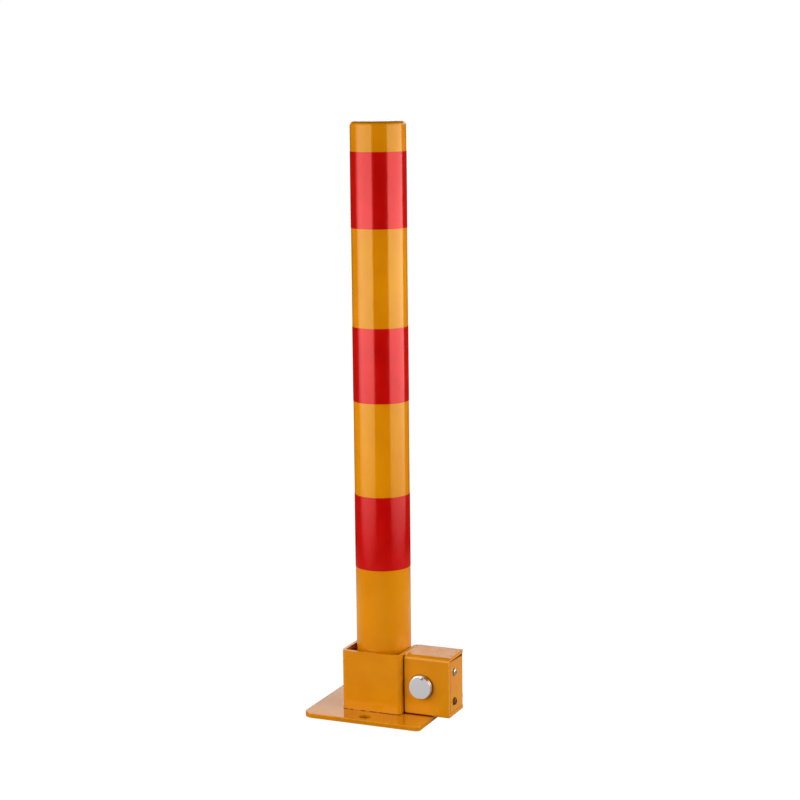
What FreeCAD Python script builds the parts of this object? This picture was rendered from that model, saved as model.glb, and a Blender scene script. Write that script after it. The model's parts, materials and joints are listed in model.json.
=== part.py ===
import FreeCAD, Part
import math
import os
import re

import Sketcher

# A fold-down parking post. Millimetres, +Z up, the front of the post faces -Y.
# The origin lies on the ground under the middle of the upright post.

# Every driving dimension, kept in the document's spreadsheet.
DIMENSIONS = {
    # base plate
    "plate_left": 70.7,
    "plate_right": 68.1,
    "plate_front": 65,
    "plate_back": 66.8,
    "plate_thickness": 5,
    "plate_left_corner_radius": 12.5,
    "plate_right_corner_radius": 5,
    "plate_edge_radius": 0.8,
    "anchor_hole_diameter": 14,
    "front_anchor_distance": 52.5,
    "rear_anchor_half_spacing": 50,
    "rear_anchor_distance": 55,
    # square socket with an open back
    "socket_left": 35.7,
    "socket_right": 34.3,
    "socket_front": 35.3,
    "socket_side_end": 32,
    "socket_top_end": 12.5,
    "socket_slope_foot": 36,
    "socket_slope_radius": 4,
    "socket_wall": 3.5,
    "socket_height": 66.5,
    "socket_corner_radius": 5,
    "socket_inner_radius": 2.5,
    "weld_leg": 1.4,
    # post
    "post_diameter": 60,
    "post_wall": 3,
    "post_bottom": 7,
    "post_top": 640,
    "cap_thickness": 4.9,
    "cap_crown": 0.9,
    "cap_edge_radius": 4,
    "cap_spigot_depth": 12,
    "cap_spigot_wall": 2,
    "cap_clearance": 0.1,
    "tape_thickness": 0.25,
    "tape_width": 81,
    "tape_lower_start": 162.2,
    "tape_middle_start": 345.6,
    "tape_upper_start": 532.3,
    "strike_hole_diameter": 13.5,
    # fold hinge
    "pin_back": 18,
    "pin_height": 18.5,
    "pin_diameter": 10,
    "pin_head_diameter": 18,
    "pin_head_height": 4,
    "pin_peen_diameter": 12,
    "pin_peen_height": 1.2,
    "running_clearance": 0.05,
    "hinge_bush_diameter": 16,
    "hinge_washer_diameter": 18,
    "hinge_washer_thickness": 0.7,
    "hinge_end_play": 0.1,
    "toe_sweep_radius": 48.3,
    # lock box
    "box_start": 35.5,
    "box_end": 87.5,
    "box_front": 27,
    "box_back": 14.5,
    "box_wall": 4,
    "box_outer_radius": 5,
    "box_inner_radius": 1.5,
    "box_low_outer_radius": 2,
    "box_low_inner_radius": 0.5,
    "box_weld_radius": 2.4,
    "box_weld_inset": 1,
    # cover over the box's end and back
    "cover_start": 38,
    "cover_thickness": 2.5,
    "cover_gap": 0.5,
    "cover_low_gap": 0.3,
    "cover_top_gap": 0.6,
    "cover_top_fall": 1.7,
    "cover_outer_radius": 1.6,
    "cover_inner_radius": 0.5,
    "cover_screw_front": 11,
    "cover_screw_upper": 53.2,
    "cover_screw_lower": 20.3,
    "cover_screw_diameter": 4,
    "cover_screw_head_diameter": 8,
    "cover_screw_head_height": 2.2,
    "cover_screw_dome": 1.6,
    "cover_screw_hex": 1.45,
    "cover_screw_hex_depth": 1.3,
    "cover_screw_length": 9,
    "lug_length": 7.5,
    "lug_width": 8,
    "lug_overhang": 5,
    # cylinder lock
    "lock_across": 55.6,
    "lock_height": 37.4,
    "gasket_thickness": 0.6,
    "gasket_diameter": 26,
    "flange_diameter": 26.6,
    "flange_thickness": 2.8,
    "flange_edge_radius": 0.9,
    "barrel_diameter": 22,
    "barrel_clearance": 0.15,
    "barrel_end": 12.6,
    "nut_size": 15.6,
    "nut_thickness": 4,
    "plug_diameter": 14,
    "plug_head_diameter": 16,
    "plug_head_front": 29.9,
    "plug_head_thickness": 1.4,
    "part_gap": 0.3,
    "keyway_width": 2.2,
    "keyway_height": 8.4,
    "keyway_depth": 9,
    "cam_diameter": 20,
    "cam_thickness": 2.4,
    "cam_pin_offset": 5,
    "cam_pin_diameter": 5,
    "cam_pin_length": 5.4,
    "cam_screw_diameter": 3,
    "cam_screw_head_diameter": 6,
    "cam_screw_head_height": 1.5,
    "cam_screw_length": 8.5,
    # dust cover
    "dust_cover_diameter": 25.6,
    "dust_cover_thickness": 1.7,
    "dust_cover_edge_radius": 0.7,
    "pivot_across": 2.4,
    "pivot_up": 10.9,
    "dust_cover_flat": 11.9,
    "rivet_diameter": 1.8,
    "rivet_head_diameter": 3.2,
    "rivet_head_height": 0.8,
    "rivet_depth": 2.3,
    # locking bolt
    "bolt_front": 3,
    "bolt_height": 43.4,
    "bolt_diameter": 12,
    "bolt_tip": 32,
    "bolt_tip_chamfer": 1,
    "bolt_shoulder": 65.5,
    "bolt_end": 81.5,
    "bolt_tail_diameter": 8,
    "bolt_slot_width": 5.8,
    "bolt_slot_floor": 1,
    "bolt_hole_diameter": 12.3,
    "guide_bush_diameter": 18,
    "guide_bush_length": 9,
    "tail_guide_start": 67,
    "tail_guide_thickness": 3,
    "tail_guide_front": 12,
    "tail_guide_back": 11.5,
}

SMALLEST_CUT = 0.01     # cubic millimetres: a cut that removes less has missed
NEAR = 0.05             # how close an edge lies to the place it is looked for
CROWN_STEPS = 6         # facets from the middle of the cap's crown to its rim
HALF_TURN = 180

doc = FreeCAD.newDocument("folding_parking_post")
sheet = doc.addObject("Spreadsheet::Sheet", "Dims")


def fill_sheet():
    """Write each dimension as a plain number in its own named cell."""
    for row, (name, value) in enumerate(DIMENSIONS.items(), start=1):
        sheet.set("A%d" % row, name)
        sheet.set("B%d" % row, str(value))
        sheet.setAlias("B%d" % row, name)
    doc.recompute()


def formula(text):
    """Point every dimension named in a formula at its cell."""
    return re.sub(r"[a-z]\w*", lambda word: "Dims." + word.group(), text)


# ---------------------------------------------------------------- sketch helpers

def new_body(name):
    """An empty body whose label is the sub-part's name."""
    body = doc.addObject("PartDesign::Body", name)
    body.Label = name
    return body


def new_sketch(body, role, offset="0"):
    """A sketch on one of the body's own planes, moved along the plane's normal."""
    sketch = body.newObject("Sketcher::SketchObject", body.Name + "_sketch")
    plane = [item for item in body.Origin.OriginFeatures if item.Role == role][0]
    sketch.AttachmentSupport = [(plane, "")]
    sketch.MapMode = "FlatFace"
    sketch.setExpression("AttachmentOffset.Base.z", formula(offset))
    return sketch


def constrain(sketch, constraint, text):
    """Add a constraint whose value follows a formula."""
    index = sketch.addConstraint(constraint)
    sketch.setExpression("Constraints[%d]" % index, formula(text))


def place_point(sketch, geometry, point, across, up):
    """Hold one point of the geometry at (across, up) from the sketch's origin."""
    constrain(sketch, Sketcher.Constraint("DistanceX", -1, 1, geometry, point, 1.0), across)
    constrain(sketch, Sketcher.Constraint("DistanceY", -1, 1, geometry, point, 1.0), up)


def outline(sketch, corners):
    """A closed polygon; every corner is a pair of formulas."""
    first = sketch.GeometryCount
    count = len(corners)
    # The lines start on a circle, and the constraints then carry them to their places.
    turns = [2 * math.pi * index / count for index in range(count)]
    loose = [FreeCAD.Vector(10 * math.cos(turn), 10 * math.sin(turn), 0) for turn in turns]
    for index in range(count):
        sketch.addGeometry(Part.LineSegment(loose[index], loose[(index + 1) % count]), False)
    for index in range(count):
        following = first + (index + 1) % count
        sketch.addConstraint(Sketcher.Constraint("Coincident", first + index, 2, following, 1))
    for index, (across, up) in enumerate(corners):
        place_point(sketch, first + index, 1, across, up)


def rectangle(sketch, left, right, low, high):
    outline(sketch, [(left, low), (right, low), (right, high), (left, high)])


def circle(sketch, across, up, radius):
    index = sketch.addGeometry(Part.Circle(FreeCAD.Vector(1, 1, 0), FreeCAD.Vector(0, 0, 1), 5), False)
    place_point(sketch, index, 3, across, up)
    constrain(sketch, Sketcher.Constraint("Radius", index, 5.0), radius)


def hexagon(sketch, across, up, radius):
    """A regular hexagon with corners at the given radius."""
    corners = []
    for index in range(6):
        turn = math.radians(60 * index)
        side = "%s + %.9f * (%s)" % (across, math.cos(turn), radius)
        rise = "%s + %.9f * (%s)" % (up, math.sin(turn), radius)
        corners.append((side, rise))
    outline(sketch, corners)


# ---------------------------------------------------------------- feature helpers

def pad(body, sketch, length, midplane=False):
    feature = body.newObject("PartDesign::Pad", body.Name + "_pad")
    feature.Profile = sketch
    feature.Midplane = midplane
    feature.setExpression("Length", formula(length))
    doc.recompute()


def pocket(body, sketch, length=None, along_normal=False, midplane=False):
    """Cut the sketch out of the body, all the way through unless a length is given."""
    before = body.Shape.Volume
    feature = body.newObject("PartDesign::Pocket", body.Name + "_pocket")
    feature.Profile = sketch
    feature.Midplane = midplane
    feature.Reversed = along_normal
    if length is None:
        feature.Type = "ThroughAll"
    else:
        feature.setExpression("Length", formula(length))
    doc.recompute()
    if before - body.Shape.Volume < SMALLEST_CUT:
        raise RuntimeError(body.Label + ": a pocket missed the solid")


def fillet(body, radius, wanted):
    """Round every edge of the body's newest feature that the test accepts."""
    base = body.Tip
    names = ["Edge%d" % (index + 1) for index, edge in enumerate(base.Shape.Edges) if wanted(edge)]
    if not names:
        raise RuntimeError(body.Label + ": no edge to round")
    feature = body.newObject("PartDesign::Fillet", body.Name + "_fillet")
    feature.Base = (base, names)
    feature.setExpression("Radius", formula(radius))
    doc.recompute()


def runs_along(edge, axis):
    """Whether a straight edge runs along X, Y or Z."""
    box = edge.BoundBox
    lengths = {"X": box.XLength, "Y": box.YLength, "Z": box.ZLength}
    return all((length > NEAR) == (name == axis) for name, length in lengths.items())


def near(value, target):
    return abs(value - target) < NEAR


def move(item, at, rotation=None):
    """Place an object at a triple of formulas."""
    if rotation is not None:
        item.Placement = FreeCAD.Placement(FreeCAD.Vector(0, 0, 0), rotation)
    for axis, text in zip("xyz", at):
        item.setExpression("Placement.Base." + axis, formula(text))


X_DIRECTION = FreeCAD.Rotation(FreeCAD.Vector(0, 1, 0), 90)     # turns local Z to +X
Y_DIRECTION = FreeCAD.Rotation(FreeCAD.Vector(1, 0, 0), -90)    # turns local Z to +Y


def turned(name, corners, at=("0", "0", "0"), rotation=None):
    """A piece turned about its local Z: every corner is (place along the axis, radius)."""
    body = new_body(name)
    sketch = new_sketch(body, "XZ_Plane")
    outline(sketch, [(radius, place) for place, radius in corners])
    feature = body.newObject("PartDesign::Revolution", body.Name + "_revolution")
    feature.Profile = sketch
    feature.ReferenceAxis = (sketch, ["V_Axis"])
    feature.Angle = 360
    move(body, at, rotation)
    doc.recompute()
    return body


def ring(name, start, end, inner, outer, at=("0", "0", "0"), rotation=None):
    """A plain turned ring or tube between two places on its axis."""
    corners = [(start, inner), (start, outer), (end, outer), (end, inner)]
    return turned(name, corners, at, rotation)


def primitive(kind, name, sizes, at, rotation=None):
    """A Part primitive with its sizes and place bound to formulas."""
    item = doc.addObject("Part::" + kind, name)
    for size, text in sizes.items():
        item.setExpression(size, formula(text))
    move(item, at, rotation)
    return item


def cut(name, base, tool):
    item = doc.addObject("Part::Cut", name)
    item.Base = base
    item.Tool = tool
    return item


# ---------------------------------------------------------------- base and socket

def base_plate():
    body = new_body("base_plate")
    shape = new_sketch(body, "XY_Plane")
    rectangle(shape, "-plate_left", "plate_right", "-plate_front", "plate_back")
    pad(body, shape, "plate_thickness")
    holes = new_sketch(body, "XY_Plane")
    circle(holes, "0", "-front_anchor_distance", "anchor_hole_diameter / 2")
    for side in ("-rear_anchor_half_spacing", "rear_anchor_half_spacing"):
        circle(holes, side, "rear_anchor_distance", "anchor_hole_diameter / 2")
    pocket(body, holes, midplane=True)
    left = -DIMENSIONS["plate_left"]
    right = DIMENSIONS["plate_right"]
    top = DIMENSIONS["plate_thickness"]
    fillet(body, "plate_left_corner_radius", lambda edge: runs_along(edge, "Z") and near(edge.CenterOfMass.x, left))
    fillet(body, "plate_right_corner_radius", lambda edge: runs_along(edge, "Z") and near(edge.CenterOfMass.x, right))
    hole_reach = DIMENSIONS["anchor_hole_diameter"]
    fillet(body, "plate_edge_radius",
           lambda edge: near(edge.BoundBox.ZMin, top) and not near(edge.BoundBox.XLength, hole_reach))


INSIDE_LEFT = "-(socket_left - socket_wall)"
INSIDE_RIGHT = "socket_right - socket_wall"


def socket():
    """A square tube without its back wall, its sides cut to a slope, so that the post can fold backwards."""
    body = new_body("socket")
    shape = new_sketch(body, "XY_Plane", "plate_thickness")
    outline(shape, [("-socket_left", "socket_side_end"), ("-socket_left", "-socket_front"),
                    ("socket_right", "-socket_front"), ("socket_right", "socket_side_end"),
                    (INSIDE_RIGHT, "socket_side_end"), (INSIDE_RIGHT, "-(socket_front - socket_wall)"),
                    (INSIDE_LEFT, "-(socket_front - socket_wall)"), (INSIDE_LEFT, "socket_side_end")])
    pad(body, shape, "socket_height")
    pin_holes = new_sketch(body, "YZ_Plane")
    circle(pin_holes, "pin_back", "pin_height", "pin_diameter / 2 + running_clearance")
    pocket(body, pin_holes, midplane=True)
    bolt_hole = new_sketch(body, "YZ_Plane")
    circle(bolt_hole, "-bolt_front", "bolt_height", "bolt_hole_diameter / 2")
    pocket(body, bolt_hole, along_normal=True)
    slope = new_sketch(body, "YZ_Plane")
    top = "plate_thickness + socket_height"
    outline(slope, [("socket_top_end", top), ("socket_side_end", "socket_slope_foot"),
                    ("socket_side_end + socket_wall", "socket_slope_foot"),
                    ("socket_side_end + socket_wall", top + " + socket_wall"),
                    ("socket_top_end", top + " + socket_wall")])
    pocket(body, slope, midplane=True)
    front = -DIMENSIONS["socket_front"]
    inside = front + DIMENSIONS["socket_wall"]
    fillet(body, "socket_corner_radius", lambda edge: runs_along(edge, "Z") and near(edge.CenterOfMass.y, front))
    fillet(body, "socket_inner_radius", lambda edge: runs_along(edge, "Z") and near(edge.CenterOfMass.y, inside))
    slope_ends = (DIMENSIONS["socket_top_end"], DIMENSIONS["socket_side_end"])
    slope_low = DIMENSIONS["socket_slope_foot"]
    fillet(body, "socket_slope_radius",
           lambda edge: runs_along(edge, "X") and edge.CenterOfMass.z > slope_low - NEAR
           and any(near(edge.CenterOfMass.y, end) for end in slope_ends))


def socket_welds():
    """Fillet welds along the foot of the socket's walls."""
    low = "plate_thickness"
    high = "plate_thickness + weld_leg"
    front = new_body("socket_weld_front")
    section = new_sketch(front, "YZ_Plane")
    outline(section, [("-socket_front", low), ("-socket_front - weld_leg", low), ("-socket_front", high)])
    pad(front, section, "2 * (socket_right - socket_corner_radius)", midplane=True)
    # On the right the lock box covers the front part of the wall's foot.
    sides = (("socket_weld_left", "-", "socket_left", "socket_front - socket_corner_radius"),
             ("socket_weld_right", "", "socket_right", "-box_back - part_gap"))
    for name, sign, side, front_reach in sides:
        body = new_body(name)
        section = new_sketch(body, "XZ_Plane", "-(socket_side_end - weld_leg)")
        wall = sign + side
        foot = "%s(%s + weld_leg)" % (sign, side)
        outline(section, [(wall, low), (foot, low), (wall, high)])
        pad(body, section, "socket_side_end - weld_leg + " + front_reach)


# ---------------------------------------------------------------- post and hinge

def post_tube():
    """The post's tube, its foot shaped to swing about the pin inside the socket."""
    pin = ("pin_back", "pin_height")
    across = "-post_diameter / 2"
    radius = "post_diameter / 2"
    outer = primitive("Cylinder", "post_outside", {"Radius": radius, "Height": "post_top - post_bottom"},
                      ("0", "0", "post_bottom"))
    bore = primitive("Cylinder", "post_bore", {"Radius": "post_diameter / 2 - post_wall", "Height": "post_top"},
                     ("0", "0", "0"))
    bush_hole = primitive("Cylinder", "post_bush_hole",
                          {"Radius": "hinge_bush_diameter / 2", "Height": "post_diameter"},
                          (across,) + pin, X_DIRECTION)
    strike_hole = primitive("Cylinder", "post_strike_hole",
                            {"Radius": "strike_hole_diameter / 2", "Height": radius},
                            ("0", "-bolt_front", "bolt_height"), X_DIRECTION)
    heel = primitive("Cylinder", "post_heel", {"Radius": "pin_height - post_bottom", "Height": "post_diameter"},
                     (across,) + pin, X_DIRECTION)
    heel_block = primitive("Box", "post_heel_block",
                           {"Length": "post_diameter", "Width": "post_diameter / 2", "Height": "pin_height"},
                           (across, "pin_back", "0"))
    toe = primitive("Cylinder", "post_toe", {"Radius": "toe_sweep_radius", "Height": "post_diameter"},
                    (across,) + pin, X_DIRECTION)
    toe_block = primitive("Box", "post_toe_block",
                          {"Length": "post_diameter", "Width": "post_diameter / 2", "Height": "pin_height"},
                          (across, "-post_diameter / 2 - part_gap", "0"))
    reliefs = [cut("post_heel_relief", heel_block, heel), cut("post_toe_relief", toe_block, toe)]
    removed = doc.addObject("Part::MultiFuse", "post_removed")
    removed.Shapes = [bore, bush_hole, strike_hole] + reliefs
    tube = cut("post_tube", outer, removed)
    tube.Label = "post_tube"


def top_cap():
    """A pressed cap with a slightly raised crown, whose spigot sits inside the tube."""
    outside = "post_diameter / 2"
    spigot = "post_diameter / 2 - post_wall - cap_clearance"
    hollow = spigot + " - cap_spigot_wall"
    low = "post_top - cap_spigot_depth"
    crown = []
    for step in range(CROWN_STEPS + 1):
        share = step / CROWN_STEPS
        rise = "post_top + cap_thickness + cap_crown * %.4f" % (1 - share * share)
        crown.append((rise, "%.4f * (%s)" % (share, outside)))
    corners = crown + [("post_top", outside), ("post_top", spigot), (low, spigot),
                       (low, hollow), ("post_top", hollow), ("post_top", "0")]
    body = turned("top_cap", corners)
    height = DIMENSIONS["post_top"] + DIMENSIONS["cap_thickness"]
    fillet(body, "cap_edge_radius",
           lambda edge: near(edge.BoundBox.ZMin, height) and near(edge.BoundBox.XLength, DIMENSIONS["post_diameter"]))


def tapes():
    """Three bands of reflective tape round the post."""
    for place in ("lower", "middle", "upper"):
        start = "tape_%s_start" % place
        ring("tape_" + place, start, start + " + tape_width",
             "post_diameter / 2", "post_diameter / 2 + tape_thickness")


def fold_hinge():
    """The pin through both socket walls, with the post's bush and two washers on it."""
    at = ("0", "pin_back", "pin_height")
    radius = "pin_diameter / 2"
    head = "pin_head_diameter / 2"
    head_face = "-(socket_left + pin_head_height)"
    head_shoulder = "-(socket_left + pin_head_height / 2)"
    peen_face = "socket_right + pin_peen_height"
    corners = [(head_face, "0"), (head_face, "pin_head_diameter / 3"), (head_shoulder, head),
               ("-socket_left", head), ("-socket_left", radius), ("socket_right", radius),
               ("socket_right", "pin_peen_diameter / 2"), (peen_face, radius), (peen_face, "0")]
    turned("hinge_pin", corners, at, X_DIRECTION)
    bore = "pin_diameter / 2 + running_clearance"
    washer_left = INSIDE_LEFT + " + hinge_washer_thickness"
    washer_right = INSIDE_RIGHT + " - hinge_washer_thickness"
    ring("hinge_bush", washer_left + " + hinge_end_play", washer_right + " - hinge_end_play",
         bore, "hinge_bush_diameter / 2", at, X_DIRECTION)
    for name, start, end in (("hinge_washer_left", INSIDE_LEFT, washer_left),
                             ("hinge_washer_right", washer_right, INSIDE_RIGHT)):
        ring(name, start, end, bore, "hinge_washer_diameter / 2", at, X_DIRECTION)


# ---------------------------------------------------------------- lock box

BOX_TOP = "plate_thickness + socket_height"
COVER_BACK = "box_end - cover_thickness"


def lock_box():
    """A channel bent from plate: front, top and bottom walls, open at the back and the outer end."""
    body = new_body("lock_box")
    shape = new_sketch(body, "YZ_Plane", "box_start")
    low_inside = "plate_thickness + box_wall"
    top_inside = BOX_TOP + " - box_wall"
    front_inside = "-box_front + box_wall"
    outline(shape, [("box_back", "plate_thickness"), ("-box_front", "plate_thickness"),
                    ("-box_front", BOX_TOP), ("box_back", BOX_TOP),
                    ("box_back", top_inside), (front_inside, top_inside),
                    (front_inside, low_inside), ("box_back", low_inside)])
    pad(body, shape, "box_end - box_start")
    lock_hole = new_sketch(body, "XZ_Plane")
    circle(lock_hole, "lock_across", "lock_height", "barrel_diameter / 2 + barrel_clearance")
    pocket(body, lock_hole, along_normal=True)
    front = -DIMENSIONS["box_front"]
    inside = front + DIMENSIONS["box_wall"]
    middle = DIMENSIONS["lock_height"]

    def bend_at(edge, depth, high):
        place = edge.CenterOfMass
        return runs_along(edge, "X") and near(place.y, depth) and (place.z > middle) == high

    fillet(body, "box_outer_radius", lambda edge: bend_at(edge, front, True))
    fillet(body, "box_inner_radius", lambda edge: bend_at(edge, inside, True))
    fillet(body, "box_low_outer_radius", lambda edge: bend_at(edge, front, False))
    fillet(body, "box_low_inner_radius", lambda edge: bend_at(edge, inside, False))


def box_weld():
    """The bead along the top of the joint between lock box and socket."""
    upright = FreeCAD.Rotation(FreeCAD.Vector(1, 0, 0), 90)
    bead = primitive("Cylinder", "box_weld",
                     {"Radius": "box_weld_radius",
                      "Height": "box_front + box_back - box_outer_radius - box_weld_inset"},
                     ("(socket_right + box_start) / 2", "box_back - box_weld_inset", BOX_TOP), upright)
    bead.Angle = HALF_TURN
    bead.Label = "box_weld"


def box_cover():
    """The bent plate that closes the lock box's outer end and its back."""
    body = new_body("box_cover")
    shape = new_sketch(body, "XY_Plane", "plate_thickness + box_wall + cover_low_gap")
    front_edge = "-box_front + box_wall + cover_gap"
    back_inside = "box_back - cover_thickness"
    outline(shape, [("box_end", front_edge), ("box_end", "box_back"), ("cover_start", "box_back"),
                    ("cover_start", back_inside), (COVER_BACK, back_inside), (COVER_BACK, front_edge)])
    pad(body, shape, "socket_height - 2 * box_wall - cover_low_gap - cover_top_gap")
    holes = new_sketch(body, "YZ_Plane")
    for height in ("cover_screw_upper", "cover_screw_lower"):
        circle(holes, "-cover_screw_front", height, "cover_screw_diameter / 2 + 2 * cap_clearance")
    pocket(body, holes, along_normal=True)
    # The end wall's upper edge falls away towards the back wall.
    slope = new_sketch(body, "YZ_Plane")
    top = BOX_TOP + " - box_wall - cover_top_gap"
    outline(slope, [(front_edge, top), (back_inside, top + " - cover_top_fall"),
                    (back_inside, top + " + cover_thickness"), (front_edge, top + " + cover_thickness")])
    pocket(body, slope, midplane=True)
    end = DIMENSIONS["box_end"]
    back = DIMENSIONS["box_back"]
    wall = DIMENSIONS["cover_thickness"]

    def upright_at(edge, across, depth):
        middle = edge.CenterOfMass
        return runs_along(edge, "Z") and near(middle.x, across) and near(middle.y, depth)

    fillet(body, "cover_outer_radius", lambda edge: upright_at(edge, end, back))
    fillet(body, "cover_inner_radius", lambda edge: upright_at(edge, end - wall, back - wall))


def cover_screw(name, height):
    radius = "cover_screw_diameter / 2"
    head = "cover_screw_head_diameter / 2"
    tip = "box_end - cover_screw_length"
    face = "box_end + cover_screw_head_height"
    corners = [(tip, "0"), (tip, radius), ("box_end", radius), ("box_end", head), (face, head), (face, "0")]
    body = turned(name, corners, ("0", "-cover_screw_front", height), X_DIRECTION)
    across = DIMENSIONS["cover_screw_head_diameter"]
    outermost = max(edge.BoundBox.ZMax for edge in body.Tip.Shape.Edges)
    fillet(body, "cover_screw_dome",
           lambda edge: near(edge.BoundBox.ZMin, outermost) and near(edge.BoundBox.XLength, across))
    drive = new_sketch(body, "XY_Plane", face)
    hexagon(drive, "0", "0", "cover_screw_hex")
    pocket(body, drive, "cover_screw_hex_depth")


def cover_lug(name, height, low, high):
    """A block welded inside the box that takes one cover screw."""
    body = new_body(name)
    shape = new_sketch(body, "YZ_Plane", COVER_BACK + " - lug_length")
    rectangle(shape, "-cover_screw_front - lug_width / 2", "-cover_screw_front + lug_width / 2", low, high)
    pad(body, shape, "lug_length")
    hole = new_sketch(body, "YZ_Plane")
    circle(hole, "-cover_screw_front", height, "cover_screw_diameter / 2")
    pocket(body, hole, along_normal=True)


# ---------------------------------------------------------------- lock and dust cover

LOCK_AT = ("lock_across", "0", "lock_height")
FLANGE_BACK = "-(box_front + gasket_thickness)"
FLANGE_FRONT = "-(box_front + gasket_thickness + flange_thickness)"
PLUG_END = "-(barrel_end - part_gap)"
CAM_BACK = "-(barrel_end - part_gap - cam_thickness)"
PIVOT_ACROSS = "lock_across + pivot_across"
PIVOT_HEIGHT = "lock_height + pivot_up"
DUST_COVER_BACK = "box_front + gasket_thickness + flange_thickness + part_gap"


def lock_housing():
    head_bore = "plug_head_diameter / 2 + part_gap"
    barrel_bore = "plug_diameter / 2 + running_clearance"
    shelf = "-(plug_head_front - plug_head_thickness - part_gap)"
    flange = "flange_diameter / 2"
    barrel = "barrel_diameter / 2"
    corners = [(FLANGE_FRONT, head_bore), (FLANGE_FRONT, flange), (FLANGE_BACK, flange),
               (FLANGE_BACK, barrel), ("-barrel_end", barrel), ("-barrel_end", barrel_bore),
               (shelf, barrel_bore), (shelf, head_bore)]
    body = turned("lock_housing", corners, LOCK_AT, Y_DIRECTION)
    front = min(edge.BoundBox.ZMin for edge in body.Tip.Shape.Edges)
    fillet(body, "flange_edge_radius",
           lambda edge: near(edge.BoundBox.ZMax, front)
           and near(edge.BoundBox.XLength, DIMENSIONS["flange_diameter"]))
    rivet_hole = new_sketch(body, "XY_Plane", FLANGE_FRONT)
    circle(rivet_hole, "pivot_across", "-pivot_up", "rivet_diameter / 2")
    pocket(body, rivet_hole, "rivet_depth", along_normal=True)


def lock_gasket():
    ring("lock_gasket", FLANGE_BACK, "-box_front",
         "barrel_diameter / 2 + barrel_clearance", "gasket_diameter / 2", LOCK_AT, Y_DIRECTION)


def lock_nut():
    """The hexagonal nut that clamps the lock behind the box's front wall."""
    body = new_body("lock_nut")
    shape = new_sketch(body, "XZ_Plane", "box_front - box_wall - nut_thickness")
    hexagon(shape, "lock_across", "lock_height", "nut_size")
    circle(shape, "lock_across", "lock_height", "barrel_diameter / 2")
    pad(body, shape, "nut_thickness")


def lock_plug():
    """The part that the key turns, with its keyway in front."""
    head = "plug_head_diameter / 2"
    radius = "plug_diameter / 2"
    neck = "-(plug_head_front - plug_head_thickness)"
    corners = [("-plug_head_front", "0"), ("-plug_head_front", head), (neck, head),
               (neck, radius), (PLUG_END, radius), (PLUG_END, "0")]
    body = turned("lock_plug", corners, LOCK_AT, Y_DIRECTION)
    keyway = new_sketch(body, "XY_Plane", "-plug_head_front")
    rectangle(keyway, "-keyway_width / 2", "keyway_width / 2", "-keyway_height / 2", "keyway_height / 2")
    pocket(body, keyway, "keyway_depth", along_normal=True)
    screw_hole = new_sketch(body, "XY_Plane", PLUG_END)
    circle(screw_hole, "0", "0", "cam_screw_diameter / 2")
    pocket(body, screw_hole, "cam_screw_length - cam_thickness")


def lock_cam():
    """The disc on the plug's end, with the pin that drives the bolt."""
    shank = "cam_screw_diameter / 2 + cap_clearance"
    sink = "cam_screw_head_diameter / 2 + cap_clearance"
    sink_floor = "-(barrel_end - part_gap - cam_thickness + cam_screw_head_height)"
    corners = [(PLUG_END, shank), (PLUG_END, "cam_diameter / 2"), (CAM_BACK, "cam_diameter / 2"),
               (CAM_BACK, sink), (sink_floor, shank)]
    body = turned("lock_cam", corners, LOCK_AT, Y_DIRECTION)
    pin = new_sketch(body, "XY_Plane", CAM_BACK)
    circle(pin, "cam_pin_offset", "-cam_pin_offset", "cam_pin_diameter / 2")
    pad(body, pin, "cam_pin_length")


def cam_screw():
    radius = "cam_screw_diameter / 2"
    face = "-(barrel_end - part_gap - cam_thickness + cap_clearance)"
    neck = "-(barrel_end - part_gap - cam_thickness + cap_clearance + cam_screw_head_height)"
    tip = "-(barrel_end - part_gap - cam_thickness + cam_screw_length)"
    corners = [(tip, "0"), (tip, radius), (neck, radius), (face, "cam_screw_head_diameter / 2"), (face, "0")]
    turned("cam_screw", corners, LOCK_AT, Y_DIRECTION)


def dust_cover():
    """The round cover that hangs from its rivet over the keyway, with a flat at its foot to lift it by."""
    body = new_body("dust_cover")
    disc = new_sketch(body, "XZ_Plane", DUST_COVER_BACK)
    circle(disc, "lock_across", "lock_height", "dust_cover_diameter / 2")
    circle(disc, PIVOT_ACROSS, PIVOT_HEIGHT, "rivet_diameter / 2 + running_clearance")
    pad(body, disc, "dust_cover_thickness")
    front = min(edge.BoundBox.YMin for edge in body.Tip.Shape.Edges)
    fillet(body, "dust_cover_edge_radius",
           lambda edge: near(edge.BoundBox.YMax, front)
           and near(edge.BoundBox.XLength, DIMENSIONS["dust_cover_diameter"]))
    flat = new_sketch(body, "XZ_Plane", DUST_COVER_BACK)
    rectangle(flat, "lock_across - dust_cover_flat", "lock_across + dust_cover_flat",
              "lock_height - dust_cover_diameter", "lock_height - dust_cover_flat")
    pocket(body, flat, midplane=True)


def cover_rivet():
    radius = "rivet_diameter / 2"
    head = "rivet_head_diameter / 2"
    under_head = "-(%s + dust_cover_thickness + part_gap)" % DUST_COVER_BACK
    face = "-(%s + dust_cover_thickness + part_gap + rivet_head_height)" % DUST_COVER_BACK
    shoulder = "-(%s + dust_cover_thickness + part_gap + rivet_head_height / 2)" % DUST_COVER_BACK
    foot = FLANGE_FRONT + " + rivet_depth"
    corners = [(face, "0"), (face, radius), (shoulder, head), (under_head, head),
               (under_head, radius), (foot, radius), (foot, "0")]
    turned("cover_rivet", corners, (PIVOT_ACROSS, "0", PIVOT_HEIGHT), Y_DIRECTION)


# ---------------------------------------------------------------- locking bolt

BOLT_AT = ("0", "-bolt_front", "bolt_height")


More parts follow.
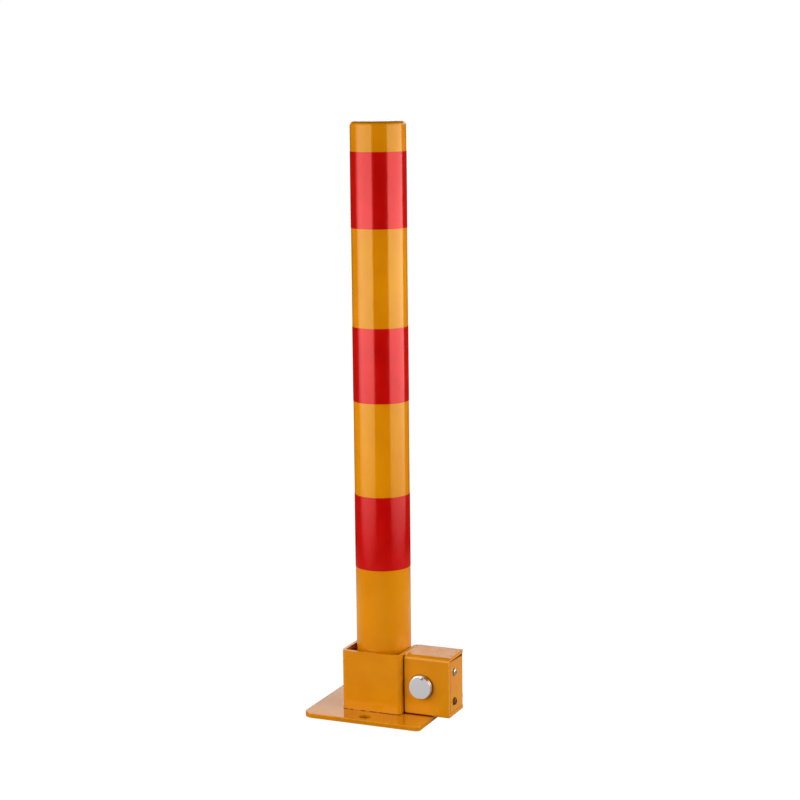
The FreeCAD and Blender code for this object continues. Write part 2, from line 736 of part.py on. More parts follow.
def lock_bolt():
    """The bolt, drawn back, with the cross slot that the cam's pin works in."""
    radius = "bolt_diameter / 2"
    tail = "bolt_tail_diameter / 2"
    corners = [("bolt_tip", "0"), ("bolt_tip", radius + " - bolt_tip_chamfer"),
               ("bolt_tip + bolt_tip_chamfer", radius), ("bolt_shoulder", radius),
               ("bolt_shoulder", tail), ("bolt_end", tail), ("bolt_end", "0")]
    body = turned("lock_bolt", corners, BOLT_AT, X_DIRECTION)
    slot = new_sketch(body, "YZ_Plane")
    middle = "lock_across + cam_pin_offset"
    rectangle(slot, "-bolt_diameter", "-bolt_slot_floor",
              middle + " - bolt_slot_width / 2", middle + " + bolt_slot_width / 2")
    pocket(body, slot, midplane=True)


def bolt_guide_bush():
    ring("bolt_guide_bush", "socket_right", "socket_right + guide_bush_length",
         "bolt_diameter / 2 + running_clearance", "guide_bush_diameter / 2", BOLT_AT, X_DIRECTION)


def tail_guide():
    """The plate inside the box that carries the bolt's tail."""
    body = new_body("tail_guide")
    shape = new_sketch(body, "YZ_Plane", "tail_guide_start")
    rectangle(shape, "-tail_guide_front", "tail_guide_back",
              "plate_thickness + box_wall", BOX_TOP + " - box_wall")
    pad(body, shape, "tail_guide_thickness")
    hole = new_sketch(body, "YZ_Plane")
    circle(hole, "-bolt_front", "bolt_height", "bolt_tail_diameter / 2 + running_clearance")
    pocket(body, hole, along_normal=True)


# ---------------------------------------------------------------- the whole post

NODES = (
    "base_plate", "socket", "socket_weld_front", "socket_weld_left", "socket_weld_right",
    "post_tube", "top_cap", "tape_lower", "tape_middle", "tape_upper",
    "hinge_pin", "hinge_bush", "hinge_washer_left", "hinge_washer_right",
    "lock_box", "box_weld", "box_cover", "cover_screw_upper", "cover_screw_lower",
    "cover_lug_upper", "cover_lug_lower", "lock_housing", "lock_gasket", "lock_nut",
    "lock_plug", "lock_cam", "cam_screw", "dust_cover", "cover_rivet",
    "lock_bolt", "bolt_guide_bush", "tail_guide",
)


def build():
    fill_sheet()
    base_plate()
    socket()
    socket_welds()
    post_tube()
    top_cap()
    tapes()
    fold_hinge()
    lock_box()
    box_weld()
    box_cover()
    cover_screw("cover_screw_upper", "cover_screw_upper")
    cover_screw("cover_screw_lower", "cover_screw_lower")
    cover_lug("cover_lug_upper", "cover_screw_upper",
              "cover_screw_upper - lug_overhang + part_gap", BOX_TOP + " - box_wall")
    cover_lug("cover_lug_lower", "cover_screw_lower",
              "plate_thickness + box_wall", "cover_screw_lower + lug_overhang")
    lock_housing()
    lock_gasket()
    lock_nut()
    lock_plug()
    lock_cam()
    cam_screw()
    dust_cover()
    cover_rivet()
    lock_bolt()
    bolt_guide_bush()
    tail_guide()
    doc.recompute()


def check():
    """Stop if any object failed or any sub-part has no sound solid."""
    for item in doc.Objects:
        if any(flag in ("Invalid", "Error") for flag in item.State):
            raise RuntimeError(item.Label + " did not recompute")
    for name in NODES:
        shape = doc.getObjectsByLabel(name)[0].Shape
        if shape.isNull() or not shape.isValid() or len(shape.Solids) != 1:
            raise RuntimeError(name + " is not one sound solid")


def export():
    os.makedirs("parts", exist_ok=True)
    for name in NODES:
        doc.getObjectsByLabel(name)[0].Shape.exportStep("parts/%s.step" % name)


build()
check()
export()
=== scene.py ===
import json
import math

import bmesh
import bpy
from mathutils import Matrix, Vector


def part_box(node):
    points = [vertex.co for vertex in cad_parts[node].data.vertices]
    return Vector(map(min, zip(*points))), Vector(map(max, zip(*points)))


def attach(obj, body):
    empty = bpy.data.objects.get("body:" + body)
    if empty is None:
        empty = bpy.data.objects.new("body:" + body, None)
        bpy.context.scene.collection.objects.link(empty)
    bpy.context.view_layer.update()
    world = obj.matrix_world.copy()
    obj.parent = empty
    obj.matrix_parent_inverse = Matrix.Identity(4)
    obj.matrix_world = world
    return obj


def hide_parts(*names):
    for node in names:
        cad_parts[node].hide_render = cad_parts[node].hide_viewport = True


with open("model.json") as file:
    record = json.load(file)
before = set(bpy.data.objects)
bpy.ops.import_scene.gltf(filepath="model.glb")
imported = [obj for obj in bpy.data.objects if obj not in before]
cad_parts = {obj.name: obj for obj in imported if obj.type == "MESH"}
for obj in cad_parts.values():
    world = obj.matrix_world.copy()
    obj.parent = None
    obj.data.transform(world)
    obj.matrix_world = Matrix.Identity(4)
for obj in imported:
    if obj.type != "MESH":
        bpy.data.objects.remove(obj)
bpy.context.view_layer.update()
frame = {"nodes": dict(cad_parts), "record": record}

MM = 0.001
NODES = frame["nodes"]
UP = Vector((0, 0, 1))


def add_object(name, data):
    """An object that holds the given mesh or camera, linked into the scene."""
    made = bpy.data.objects.new(name, data)
    bpy.context.scene.collection.objects.link(made)
    return made


# ---------------------------------------------------------------- node helpers

class Shader:
    """A material and a short way to add and join its nodes."""

    def __init__(self, name):
        self.material = bpy.data.materials.new(name)
        self.material.use_nodes = True
        self.tree = self.material.node_tree
        self.tree.nodes.clear()
        self.output = self.add("ShaderNodeOutputMaterial")

    def add(self, kind, **settings):
        node = self.tree.nodes.new(kind)
        for name, value in settings.items():
            setattr(node, name, value)
        return node

    def join(self, start, end):
        self.tree.links.new(start, end)

    def place(self, stretch=(1, 1, 1)):
        """The point on the object, in metres, stretched along each axis."""
        mapping = self.add("ShaderNodeMapping")
        mapping.inputs["Scale"].default_value = stretch
        self.join(self.add("ShaderNodeTexCoord").outputs["Object"], mapping.inputs["Vector"])
        return mapping.outputs["Vector"]

    def noise(self, grain, detail, roughness=0.5, stretch=(1, 1, 1)):
        """Noise whose features are about grain metres across."""
        node = self.add("ShaderNodeTexNoise")
        node.inputs["Scale"].default_value = 1 / grain
        node.inputs["Detail"].default_value = detail
        node.inputs["Roughness"].default_value = roughness
        self.join(self.place(stretch), node.inputs["Vector"])
        return node.outputs["Fac"]

    def remap(self, value, low, high, to_low, to_high):
        node = self.add("ShaderNodeMapRange")
        node.inputs["From Min"].default_value = low
        node.inputs["From Max"].default_value = high
        node.inputs["To Min"].default_value = to_low
        node.inputs["To Max"].default_value = to_high
        self.join(value, node.inputs["Value"])
        return node.outputs["Result"]

    def drift(self, grain, detail):
        """Soft patches, about grain metres across, between 0 and 1."""
        return self.remap(self.noise(grain, detail), 0.35, 0.65, 0, 1)

    def varied(self, grain, detail, low, high):
        """A value that wanders from low to high over patches about grain metres across."""
        return self.remap(self.noise(grain, detail), 0.3, 0.7, low, high)

    def magnitude(self, value):
        node = self.add("ShaderNodeMath", operation="ABSOLUTE")
        self.join(value, node.inputs[0])
        return node.outputs["Value"]

    def crevice(self, reach):
        """How open the surface is, from 0 deep in a corner to 1 in the open."""
        node = self.add("ShaderNodeAmbientOcclusion", samples=8)
        node.inputs["Distance"].default_value = reach
        return node.outputs["AO"]

    def blend(self, share, first, second):
        """Two colours mixed by a share from 0 to 1; each is a tuple or a socket."""
        node = self.add("ShaderNodeMix", data_type="RGBA")
        self.join(share, node.inputs["Factor"])
        for name, colour in (("A", first), ("B", second)):
            socket = [item for item in node.inputs if item.name == name and item.type == "RGBA"][0]
            if isinstance(colour, tuple):
                socket.default_value = colour + (1,)
            else:
                self.join(colour, socket)
        return [item for item in node.outputs if item.type == "RGBA"][0]

    def bump(self, height, depth, below=None):
        """A bump of the given depth in metres, laid over another one if there is one."""
        node = self.add("ShaderNodeBump")
        node.inputs["Strength"].default_value = 1.0
        node.inputs["Distance"].default_value = depth
        self.join(height, node.inputs["Height"])
        if below is not None:
            self.join(below, node.inputs["Normal"])
        return node.outputs["Normal"]

    def principled(self, settings, colour, roughness, normal, metallic=None):
        """The surface: constants go on its own sockets, textures come in as links."""
        node = self.add("ShaderNodeBsdfPrincipled")
        for name, value in settings.items():
            node.inputs[name].default_value = value
        self.join(colour, node.inputs["Base Color"])
        self.join(roughness, node.inputs["Roughness"])
        self.join(normal, node.inputs["Normal"])
        if metallic is not None:
            self.join(metallic, node.inputs["Metallic"])
        self.join(node.outputs["BSDF"], self.output.inputs["Surface"])
        return self.material

    def glow(self, colour):
        """A surface that only glows; returns the socket of its strength."""
        node = self.add("ShaderNodeEmission")
        node.inputs["Color"].default_value = colour
        self.join(node.outputs["Emission"], self.output.inputs["Surface"])
        return node.inputs["Strength"]


# ---------------------------------------------------------------- materials

PAINT = (0.71, 0.252, 0.0015)
PAINT_DEEP = (0.64, 0.207, 0.0010)
PAINT_THIN = (0.76, 0.300, 0.006)
# painted shade: the deep red-brown that corners and gaps are darkened towards
PAINTED_CREVICE_SHADE = (0.17, 0.006, 0.0005)
# painted shadow: the near-black of the joint's open gaps
PAINTED_JOINT_SHADOW = (0.06, 0.008, 0.0006)
PAINT_GLOSS = (1.0, 0.88, 0.34, 1)
WELD_GLOSS = (1.0, 0.94, 0.88, 1)
JOINT_GLOSS = (1.0, 0.88, 0.42, 1)
TAPE = (0.60, 0.0035, 0.0025)
TAPE_DEEP = (0.52, 0.0020, 0.0015)
TAPE_GLOSS = (1.0, 0.72, 0.72, 1)
SCREW_BROWN = (0.085, 0.034, 0.012)
ZINC_FLECK = (0.30, 0.20, 0.12)
BRUSHED_FACE = (0.62, 0.635, 0.68)
BRIGHT_RIM = (0.88, 0.88, 0.90)


def powder_coat(name, smooth, rough, painted_shade_onset):
    """Powder coat: slow colour drift, fine pigment grain and orange peel, with painted shade in its
    corners.

    The painted shade starts to darken the coat where less of the sky above it is open than the share given
    as the last argument.
    """
    shader = Shader(name)
    colour = shader.blend(shader.drift(grain=0.055, detail=3), PAINT_DEEP, PAINT)
    grain = shader.remap(shader.noise(grain=0.0004, detail=1), 0.55, 0.75, 0, 0.10)
    colour = shader.blend(grain, colour, PAINT_THIN)
    # painted shade: where ambient occlusion finds a corner or gap, the coat is darkened towards a deep
    # red-brown
    shade = shader.remap(shader.crevice(4 * MM), painted_shade_onset - 0.40, painted_shade_onset, 0.97, 0)
    colour = shader.blend(shade, colour, PAINTED_CREVICE_SHADE)
    peel = shader.bump(shader.noise(grain=0.0021, detail=1.5), depth=0.000016)
    speck = shader.bump(shader.noise(grain=0.0007, detail=2), depth=0.000003, below=peel)
    roughness = shader.varied(grain=0.012, detail=4, low=smooth, high=rough)
    gloss = {"IOR": 1.52, "Specular IOR Level": 0.56, "Specular Tint": PAINT_GLOSS}
    return shader.principled(gloss, colour, roughness, speck)


def weld_paint():
    """The same coat where it lies over a weld: glossier, with more body to its peel, and painted shade
    where the bead meets the joint.
    """
    shader = Shader("weld_paint")
    colour = shader.blend(shader.drift(grain=0.004, detail=4), PAINT_DEEP, PAINT_THIN)
    # painted shade: ambient occlusion darkens the bead towards a deep red-brown where it meets the parts
    # beside it
    shade = shader.remap(shader.crevice(3 * MM), 0.1, 0.7, 0.8, 0)
    colour = shader.blend(shade, colour, PAINTED_CREVICE_SHADE)
    normal = shader.bump(shader.noise(grain=0.0013, detail=3), depth=0.00030)
    roughness = shader.varied(grain=0.002, detail=3, low=0.06, high=0.18)
    gloss = {"IOR": 1.8, "Specular IOR Level": 0.9, "Specular Tint": WELD_GLOSS}
    return shader.principled(gloss, colour, roughness, normal)


def foot_joint_paint():
    """The coat along the socket's foot, where painted shadow shows the open parts of the joint as dark
    dashes.
    """
    shader = Shader("foot_joint_paint")
    # painted shadow: noise lays dark dashes along the joint where its open gaps would lie in shade
    dashes = shader.remap(shader.noise(grain=0.0042, detail=2, stretch=(1, 0.4, 0.4)), 0.42, 0.48, 0, 0.92)
    colour = shader.blend(dashes, PAINT_DEEP, PAINTED_JOINT_SHADOW)
    normal = shader.bump(shader.noise(grain=0.0008, detail=3), depth=0.00004)
    roughness = shader.remap(dashes, 0, 1, 0.2, 0.6)
    return shader.principled({"Specular Tint": JOINT_GLOSS}, colour, roughness, normal)


def dark_brown_screw():
    """A dark brown metal with a few paler, glossier flecks."""
    shader = Shader("dark_brown_screw")
    left = shader.remap(shader.noise(grain=0.0012, detail=4), 0.52, 0.66, 0, 1)
    colour = shader.blend(left, SCREW_BROWN, ZINC_FLECK)
    roughness = shader.remap(left, 0, 1, 0.62, 0.34)
    normal = shader.bump(shader.noise(grain=0.0005, detail=3), depth=0.00003)
    return shader.principled({"Metallic": 0.55}, colour, roughness, normal)


def reflective_tape():
    """Red film over a layer of glass beads, pressed in a fine honeycomb."""
    shader = Shader("reflective_tape")
    cells = shader.add("ShaderNodeTexVoronoi", feature="DISTANCE_TO_EDGE")
    cell_width = 0.0032
    cells.inputs["Scale"].default_value = 1 / cell_width
    cells.inputs["Randomness"].default_value = 0.12
    shader.join(shader.place(), cells.inputs["Vector"])
    web = shader.remap(cells.outputs["Distance"], 0.0, 0.06, 0.30, 0)
    colour = shader.blend(shader.drift(grain=0.03, detail=3), TAPE_DEEP, TAPE)
    colour = shader.blend(web, colour, TAPE_DEEP)
    pressed = shader.bump(web, depth=0.000006)
    waves = shader.bump(shader.noise(grain=0.004, detail=2), depth=0.000012, below=pressed)
    roughness = shader.varied(grain=0.008, detail=3, low=0.12, high=0.20)
    gloss = {"Metallic": 0.14, "IOR": 1.5, "Specular Tint": TAPE_GLOSS}
    return shader.principled(gloss, colour, roughness, waves)


def metal(name, light, dark, smooth, rough, mark, depth, stretch=(1, 1, 1)):
    """A bare or plated metal with fine marks and painted shade in its corners; stretch draws the marks out
    along an axis.
    """
    shader = Shader(name)
    marks = shader.noise(grain=mark, detail=4, roughness=0.6, stretch=stretch)
    colour = shader.blend(shader.varied(grain=0.006, detail=3, low=0, high=1), dark, light)
    # painted shade: ambient occlusion darkens the metal towards a quarter of its dark colour in corners
    shade = shader.remap(shader.crevice(2 * MM), 0.0, 0.6, 0.5, 0)
    colour = shader.blend(shade, colour, tuple(value * 0.25 for value in dark))
    roughness = shader.remap(marks, 0.3, 0.7, smooth, rough)
    return shader.principled({"Metallic": 1.0}, colour, roughness, shader.bump(marks, depth=depth))


def brushed_cover():
    """The dust cover: its flat face brushed to a pale grey, its rounded rim left bright."""
    shader = Shader("brushed_cover")
    split = shader.add("ShaderNodeSeparateXYZ")
    shader.join(shader.add("ShaderNodeNewGeometry").outputs["Normal"], split.inputs["Vector"])
    flat = shader.remap(shader.magnitude(split.outputs["Y"]), 0.90, 0.98, 0, 1)
    colour = shader.blend(flat, BRIGHT_RIM, BRUSHED_FACE)
    roughness = shader.remap(flat, 0, 1, 0.12, 0.45)
    metallic = shader.remap(flat, 0, 1, 1.0, 0.35)
    normal = shader.bump(shader.noise(grain=0.0004, detail=4, stretch=(1, 1, 5)), depth=0.000002)
    return shader.principled({}, colour, roughness, normal, metallic)


def plain(name, light, dark, smooth, rough, grain, depth):
    """A moulded plastic or rubber with a fine skin."""
    shader = Shader(name)
    skin = shader.noise(grain=grain, detail=3)
    colour = shader.blend(shader.remap(skin, 0.35, 0.65, 0, 1), dark, light)
    roughness = shader.varied(grain=grain * 6, detail=2, low=smooth, high=rough)
    return shader.principled({}, colour, roughness, shader.bump(skin, depth=depth))


def slot_finishes():
    """The finish of each material slot in the record."""
    return {
        # The last value sets how soon painted shade starts in the coat's corners.
        "yellow_paint": powder_coat("powder_coat", smooth=0.10, rough=0.17, painted_shade_onset=0.58),
        "red_tape": reflective_tape(),
        "chrome": metal("chrome", light=(0.74, 0.74, 0.77), dark=(0.68, 0.68, 0.71),
                        smooth=0.07, rough=0.13, mark=0.0005, depth=0.0000008),
        "zinc_steel": metal("zinc_steel", light=(0.66, 0.67, 0.68), dark=(0.50, 0.51, 0.52),
                            smooth=0.14, rough=0.28, mark=0.0004, depth=0.000002),
        "bare_steel": metal("bare_steel", light=(0.46, 0.45, 0.44), dark=(0.33, 0.32, 0.31),
                            smooth=0.26, rough=0.44, mark=0.0004, depth=0.000004, stretch=(1, 6, 6)),
        "brass": metal("brass", light=(0.80, 0.60, 0.26), dark=(0.66, 0.46, 0.18),
                       smooth=0.18, rough=0.32, mark=0.0004, depth=0.000003),
        "nylon": plain("nylon", light=(0.78, 0.77, 0.71), dark=(0.70, 0.69, 0.62),
                       smooth=0.35, rough=0.5, grain=0.0006, depth=0.000006),
        "rubber": plain("rubber", light=(0.030, 0.030, 0.031), dark=(0.018, 0.018, 0.019),
                        smooth=0.55, rough=0.75, grain=0.0005, depth=0.00001),
    }


def own_finishes():
    """The finishes of the nodes that are finished in their own way or carry stronger painted shade in their
    corners.
    """
    # The box and plate coats start their painted shade sooner, which darkens the thin gaps beside and under
    # the box.
    box_coat = powder_coat("box_coat", smooth=0.18, rough=0.28, painted_shade_onset=0.80)
    return {
        "base_plate": powder_coat("plate_coat", smooth=0.10, rough=0.17, painted_shade_onset=0.86),
        "lock_box": box_coat,
        "box_cover": box_coat,
        "dust_cover": brushed_cover(),
        # The lower screw is drawn dark brown all over, unlike the upper one.
        "cover_screw_lower": dark_brown_screw(),
    }


def paint_nodes(by_slot, by_node):
    """Give every node of the frame its own finish, or else that of its slot."""
    for row in frame["record"]["subparts"]:
        node = row["node"]
        mesh = NODES[node].data
        mesh.materials.clear()
        mesh.materials.append(by_node.get(node) or by_slot[row["material_slot"]])


# ---------------------------------------------------------------- mesh helpers

def new_piece(name, points, faces, material, body, smooth=True):
    """A mesh piece in the row frame that rides on a body."""
    mesh = bpy.data.meshes.new(name)
    mesh.from_pydata([tuple(point) for point in points], [], faces)
    mesh.update()
    checked = bmesh.new()
    checked.from_mesh(mesh)
    bmesh.ops.recalc_face_normals(checked, faces=checked.faces)
    checked.to_mesh(mesh)
    checked.free()
    for face in mesh.polygons:
        face.use_smooth = smooth
    mesh.materials.append(material)
    piece = add_object(name, mesh)
    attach(piece, body)
    return piece


def tube_faces(stations, around):
    """Faces of a closed tube of rings, with one face across each end."""
    faces = []
    for station in range(stations - 1):
        for turn in range(around):
            following = (turn + 1) % around
            low = station * around
            high = low + around
            faces.append((low + turn, low + following, high + following, high + turn))
    faces.append(tuple(reversed(range(around))))
    last = (stations - 1) * around
    faces.append(tuple(range(last, last + around)))
    return faces


# ---------------------------------------------------------------- weld beads

BOX_BEAD = (4.2 * MM, 0.9 * MM, 2.3 * MM)       # width, height and ripple
FOOT_BEAD = (1.5 * MM, 0.55 * MM, 1.9 * MM)


def steady(vector):
    """A direction that is the same all along a run."""
    return lambda share: vector


def wobble(place, seed):
    """A smooth, repeatable unevenness between -1 and 1."""
    slow = math.sin(place * 0.83 + seed * 1.7)
    quick = math.sin(place * 2.31 + seed * 4.1)
    return 0.6 * slow + 0.4 * quick


def bead_section(share, length, section, seed):
    """Half the width of a bead and its rise above the joint, at a share of its run."""
    width, height, ripple = section
    scale_depth = 0.20      # of each ripple, as a share of the height
    end_length = 1.6 * MM   # over which an end rounds off
    blunt = 0.08            # what the rounding leaves of the section
    ripple_wander = 0.25    # how far each of these strays, as a share of itself
    width_wander = 0.10
    rise_wander = 0.16
    run = share * length
    phase = (run / ripple + ripple_wander * wobble(run / MM / 3, seed)) % 1
    scale = (1 - scale_depth) + scale_depth * math.sqrt(max(0.0, 1 - phase * phase))
    from_end = min(share, 1 - share) * length
    taper = min(1.0, math.sqrt(max(0.0, from_end / end_length)) + blunt)
    half = 0.5 * width * taper * (1 + width_wander * wobble(run / MM, seed))
    rise = height * taper * scale * (1 + rise_wander * wobble(run / MM * 0.7, seed + 5))
    return half, rise


def weld_bead(name, spine, outward, across, section, seed, material, node):
    """A run of weld whose ripples overlap like scales.

    spine, outward and across give, for a share from 0 to 1 of the run, the middle of its foot,
    the direction away from the joint and the direction across the run.
    """
    chords = 40
    spacing = 0.22 * MM     # between rings
    around = 20             # points in a ring
    sink = 0.35             # how far a ring's middle lies below the joint, as a share of the rise
    length = sum((spine((step + 1) / chords) - spine(step / chords)).length for step in range(chords))
    stations = max(24, int(length / spacing))
    points = []
    for station in range(stations):
        share = station / (stations - 1)
        half, rise = bead_section(share, length, section, seed)
        middle = spine(share) - outward(share) * rise * sink
        for turn in range(around):
            angle = 2 * math.pi * turn / around
            points.append(middle + across(share) * half * math.cos(angle)
                          + outward(share) * rise * (1 + sink) * math.sin(angle))
    piece = new_piece(name, points, tube_faces(stations, around), material, "base")
    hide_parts(node)


def box_weld_bead(material):
    """The low bead on top of the joint, which turns a little way down over the box's rounded front edge."""
    low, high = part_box("box_weld")
    middle = (low.x + high.x) / 2
    top = low.z
    front = low.y
    back = high.y - 1.5 * MM
    corner = 5 * MM         # outer radius of the box's front edge
    flat = back - front
    bend = 0.5 * corner * math.pi / 2
    length = flat + bend

    def frame_at(share):
        run = share * length
        if run < flat:
            return Vector((middle, back - run, top)), UP
        turn = (run - flat) / corner
        out = Vector((0, -math.sin(turn), math.cos(turn)))
        return Vector((middle, front, top - corner)) + out * corner, out

    weld_bead("box_weld_bead", lambda share: frame_at(share)[0], lambda share: frame_at(share)[1],
              steady(Vector((1, 0, 0))), BOX_BEAD, 3, material, "box_weld")


def front_foot_bead(material):
    """The bead along the socket's front foot, carried round both of its corners."""
    low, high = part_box("socket")
    radius = 5 * MM         # of the socket's front corners
    arc = radius * math.pi / 2
    straight = high.x - low.x - 2 * radius
    left = Vector((low.x + radius, low.y + radius, low.z))
    right = left + Vector((straight, 0, 0))

    def frame_at(share):
        run = share * (straight + 2 * arc)
        if run < arc:
            turn = run / radius
            direction = Vector((-math.cos(turn), -math.sin(turn), 0))
            return left + direction * radius, direction
        if run < arc + straight:
            return left + Vector((run - arc, -radius, 0)), Vector((0, -1, 0))
        turn = (run - arc - straight) / radius
        direction = Vector((math.sin(turn), -math.cos(turn), 0))
        return right + direction * radius, direction

    def outward(share):
        return (frame_at(share)[1] + UP).normalized()

    def across(share):
        return UP.cross(frame_at(share)[1]).cross(outward(share))

    weld_bead("front_foot_bead", lambda share: frame_at(share)[0], outward, across,
              FOOT_BEAD, 1, material, "socket_weld_front")


def side_foot_beads(material):
    """The small beads where the socket's side walls meet the plate."""
    for node, side, seed in (("socket_weld_left", -1, 2), ("socket_weld_right", 1, 4)):
        low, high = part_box(node)
        out = Vector((side, 0, 1)).normalized()
        across = Vector((0, 1, 0)).cross(out)
        # The bead's foot runs along the corner between wall and plate.
        wall = high.x if side < 0 else low.x
        start = Vector((wall, low.y, low.z))
        run = Vector((0, high.y - low.y, 0))
        weld_bead(node + "_bead", lambda share, start=start, run=run: start + run * share,
                  steady(out), steady(across), FOOT_BEAD, seed, material, node)


# ---------------------------------------------------------------- tape overlaps

def tape_overlaps(material):
    """At the left rear of the post each tape runs a little way over its own start."""
    arc = math.radians(15)
    film = 0.2 * MM
    skew = 0.4 * MM         # by which the overlap's start is cut out of square
    onset = 1 / 6           # share of the overlap over which it climbs on to the tape
    steps = 24
    for node, bearing in (("tape_lower", 152), ("tape_middle", 149), ("tape_upper", 155)):
        low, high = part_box(node)
        radius = (high.x - low.x) / 2
        inner = radius - film
        points = []
        for step in range(steps + 1):
            share = step / steps
            turn = math.radians(bearing) + arc * share
            outer = radius + film * min(1.0, share / onset)
            cut = skew * (1 - share)
            foot = low.z + cut
            head = high.z - 0.5 * cut
            for reach, height in ((inner, foot), (outer, foot), (outer, head), (inner, head)):
                points.append(Vector((math.cos(turn) * reach, math.sin(turn) * reach, height)))
        new_piece(node + "_overlap", points, tube_faces(steps + 1, 4), material, "post",
                  smooth=False)


# ---------------------------------------------------------------- studio

WHITE = (1, 1, 1, 1)
WARM = (1.0, 0.86, 0.38, 1)
PALE = (1.0, 0.91, 0.72, 1)


def grid_faces(steps):
    """Faces of a square grid with the given number of steps each way."""
    faces = []
    for row in range(steps):
        for column in range(steps):
            corner = row * (steps + 1) + column
            faces.append((corner, corner + 1, corner + steps + 2, corner + steps + 1))
    return faces


def glow_panel(name, middle, facing, size, strength, profile, steps=24, mirrored=True, colour=WHITE):
    """A softbox: a sheet that glows by profile(u, v), unseen by the camera itself."""
    width, height = size
    reference = Vector((0, 1, 0)) if abs(facing.z) > 0.9 else UP
    right = reference.cross(facing).normalized()
    up = facing.cross(right).normalized()
    points = []
    glow = []
    for row in range(steps + 1):
        for column in range(steps + 1):
            u = column / steps
            v = row / steps
            points.append(middle + right * (u - 0.5) * width + up * (v - 0.5) * height)
            glow.append(strength * profile(u, v))
    mesh = bpy.data.meshes.new(name)
    mesh.from_pydata([tuple(point) for point in points], [], grid_faces(steps))
    mesh.attributes.new("glow", "FLOAT", "POINT").data.foreach_set("value", glow)
    shader = Shader(name)
    level = shader.add("ShaderNodeAttribute", attribute_name="glow")
    shader.join(level.outputs["Fac"], shader.glow(colour))
    mesh.materials.append(shader.material)
    panel = add_object(name, mesh)
    panel.visible_camera = False
    panel.visible_glossy = mirrored
    panel.visible_shadow = False


def even(u, v):
    """The profile of a panel that glows the same all over."""
    return 1.0


def ramp(value, stops):
    """Straight lines between (place, level) stops."""
    for (start, low), (end, high) in zip(stops, stops[1:]):
        if value <= end:
            share = (value - start) / (end - start)
            return low + (high - low) * max(0.0, share)
    return stops[-1][1]


def around_post(bearing):
    """The direction at a bearing in degrees from the front, towards the lock box."""
    turn = math.radians(bearing)
    return Vector((math.sin(turn), -math.cos(turn), 0))


def side_panels():
    """Two tall softboxes that draw the long highlights down the post."""
    distance = 0.80
    panel_height = 1.0
    level = 4.0
    upright = ((0.0, 0.24), (0.08, 0.43), (0.19, 0.70), (0.36, 1.0), (0.46, 1.0), (0.62, 0.74), (1.0, 0.45))
    # On the left box the edge nearer the front is softened.
    softened = ((0.0, 1.0), (0.72, 1.0), (1.0, 0.25))
    full = ((0.0, 1.0), (1.0, 1.0))
    for name, start, end, inner in (("left_softbox", -78, -3, softened), ("right_softbox", 60, 134, full)):
        direction = around_post((start + end) / 2)
        width = 2 * distance * math.tan(math.radians((end - start) / 2))
        middle = direction * distance + UP * (panel_height / 2)
        glow_panel(name, middle, -direction, (width, panel_height), level,
                   lambda u, v, inner=inner: ramp(u, inner) * ramp(v, upright))


def back_wall():
    """A broad glowing band, well behind the post and wholly above its top."""
    glow_panel("back_wall", Vector((-0.6, 2.6, 1.175)), Vector((0, -1, 0)), (6.0, 0.95), 1.5, even)


def bounce_sheet():
    """The bright sheet round the foot, dark beneath the plate; it lights the low parts from below."""
    reach = 0.80
    # painted shadow: the sheet stays dark under the plate and dim close in front of it, as the floor would
    # be in the plate's shadow
    shadow = 0.072
    in_front = ((0.0, 0.0), (0.07, 0.05), (0.12, 0.50), (0.20, 0.95), (0.28, 0.80), (0.36, 0.50),
                (0.58, 0.50), (0.78, 0.0))
    elsewhere = ((0.0, 0.65), (0.45, 1.0), (0.78, 0.0))

    def profile(u, v):
        x = (u - 0.5) * 2 * reach
        y = (v - 0.5) * 2 * reach
        if max(abs(x), abs(y)) < shadow:
            return 0.0
        distance = math.hypot(x, y)
        front = min(1.0, max(0.0, 0.3 - 1.5 * y / distance))
        return front * ramp(distance, in_front) + (1 - front) * ramp(distance, elsewhere)

    glow_panel("bounce_sheet", Vector((0, 0, -2 * MM)), UP, (2 * reach, 2 * reach), 0.56, profile,
               steps=64, colour=PALE)


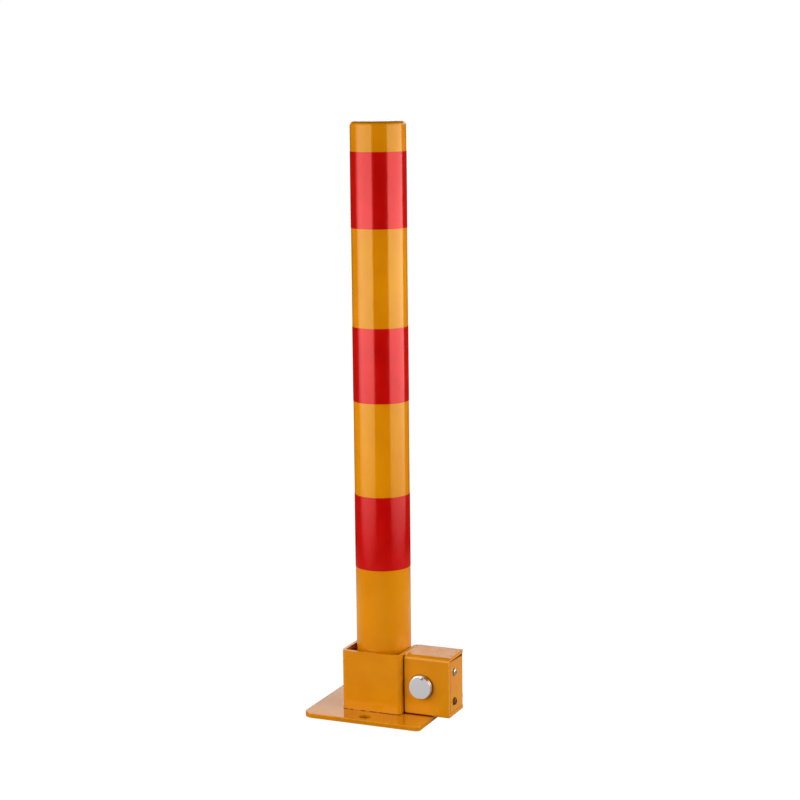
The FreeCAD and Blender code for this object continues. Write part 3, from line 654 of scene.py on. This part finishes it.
def front_fill():
    """A low light close in front of the socket, left out of reflections."""
    glow_panel("front_fill", Vector((-0.05, -0.35, 0.05)), Vector((0, 1, 0)), (0.4, 0.1), 2.0, even,
               mirrored=False)


def white_dome():
    """White all round for the camera, the ground included; light and reflections pass through it."""
    mesh = bpy.data.meshes.new("dome")
    ball = bmesh.new()
    bmesh.ops.create_uvsphere(ball, u_segments=48, v_segments=24, radius=25)
    ball.to_mesh(mesh)
    ball.free()
    shader = Shader("dome")
    shader.glow(WHITE).default_value = 1.03
    mesh.materials.append(shader.material)
    dome = add_object("dome", mesh)
    dome.visible_diffuse = False
    dome.visible_glossy = False
    dome.visible_transmission = False
    dome.visible_shadow = False


def faint_world():
    """A faint warm light from every side."""
    world = bpy.data.worlds.new("studio")
    world.use_nodes = True
    background = world.node_tree.nodes["Background"]
    background.inputs["Color"].default_value = WARM
    background.inputs["Strength"].default_value = 0.04
    bpy.context.scene.world = world


def camera():
    """The camera stands in front and to the right, a little above the post's top."""
    target = Vector((0.02221, 0, 0.34666))
    distance = 2.1889
    pitch = math.radians(9.47)
    roll = math.radians(-0.61)
    back = around_post(23.37) * math.cos(pitch) + UP * math.sin(pitch)
    level_right = (-back).cross(UP).normalized()
    level_up = level_right.cross(-back)
    right = level_right * math.cos(roll) + level_up * math.sin(roll)
    up = level_up * math.cos(roll) - level_right * math.sin(roll)
    optics = bpy.data.cameras.new("camera")
    optics.sensor_width = 36
    optics.lens = 91.37
    optics.clip_end = 100
    eye = add_object("camera", optics)
    turn = Matrix((right, up, back)).transposed().to_4x4()
    eye.matrix_world = Matrix.Translation(target + back * distance) @ turn
    bpy.context.scene.camera = eye


# ---------------------------------------------------------------- the whole scene

finishes = slot_finishes()
paint_nodes(finishes, own_finishes())
box_weld_bead(weld_paint())
foot_paint = foot_joint_paint()
front_foot_bead(foot_paint)
side_foot_beads(foot_paint)
tape_overlaps(finishes["red_tape"])
side_panels()
back_wall()
bounce_sheet()
front_fill()
white_dome()
faint_world()
camera()
bpy.context.scene.view_settings.view_transform = "Standard"
